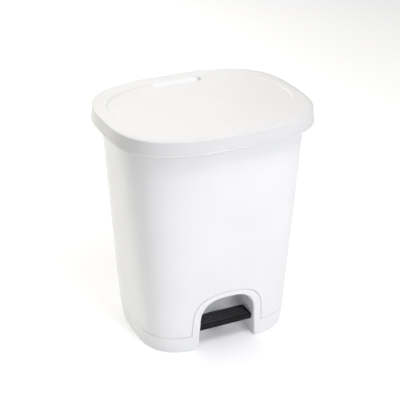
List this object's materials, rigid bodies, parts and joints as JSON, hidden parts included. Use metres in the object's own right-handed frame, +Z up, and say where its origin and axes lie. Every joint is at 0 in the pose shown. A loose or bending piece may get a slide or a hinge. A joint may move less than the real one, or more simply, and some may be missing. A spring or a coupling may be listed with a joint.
{
  "type": "pedal trash can",
  "caption": "Tapered rounded-rectangle trash can with an overhanging hinged lid, lifted by a ribbed foot pedal in a front arch through a lever and a rear lift rod.",
  "frame": {"origin": "on the floor under the middle of the closed lid", "axes": "+Z up, +Y towards the hinge at the rear, +X to the right as seen from the front"},
  "size_m": [0.3968, 0.3333, 0.464],
  "materials": {
    "white_plastic": "satin moulded polypropylene",
    "white_nylon": "plain moulded",
    "black_plastic": "plain moulded",
    "black_tread": "ribbed fine-grained moulded tread",
    "zinc_steel": "bright zinc plate",
    "grey_rubber": "soft moulded"
  },
  "bodies": {
    "bin": {"body_shell": "white_plastic", "base_frame": "white_plastic", "base_screws": "zinc_steel", "non_slip_feet": "grey_rubber", "hinge_housing": "white_plastic", "hinge_housing_screws": "zinc_steel", "hinge_pin": "zinc_steel", "hinge_pin_clips": "zinc_steel", "rod_guides": "white_nylon", "channel_cover": "white_plastic", "channel_cover_screws": "zinc_steel", "pivot_axle": "zinc_steel", "axle_push_nuts": "zinc_steel"},
    "lid": {"lid_shell": "white_plastic", "lid_hinge_bracket": "white_nylon", "lid_bracket_screws": "zinc_steel", "lid_bumpers": "grey_rubber"},
    "pedal": {"pedal_lever": "black_plastic", "pedal_pad": "black_tread", "pedal_pad_screws": "zinc_steel"},
    "lift_rod": {"lift_rod": "zinc_steel", "rod_end_clips": "zinc_steel"}
  },
  "joints": [
    {"name": "lid_hinge", "type": "hinge", "parent": "bin", "child": "lid", "pos_m": [0, 0.163, 0.44], "axis": [-1, 0, 0], "range_deg": [0, 80]},
    {"name": "pedal_pivot", "type": "hinge", "parent": "bin", "child": "pedal", "pos_m": [0, 0.038, 0.026], "axis": [1, 0, 0], "range_deg": [0, 12.6]},
    {"name": "rod_hook", "type": "hinge", "parent": "pedal", "child": "lift_rod", "pos_m": [0, 0.14635, 0.01411], "axis": [-1, 0, 0], "range_deg": [0, 12.6]}
  ],
  "couplings": [
    {"joint": "pedal_pivot", "follows": "lid_hinge", "ratio": 0.15658},
    {"joint": "rod_hook", "follows": "lid_hinge", "ratio": 0.15658}
  ]
}
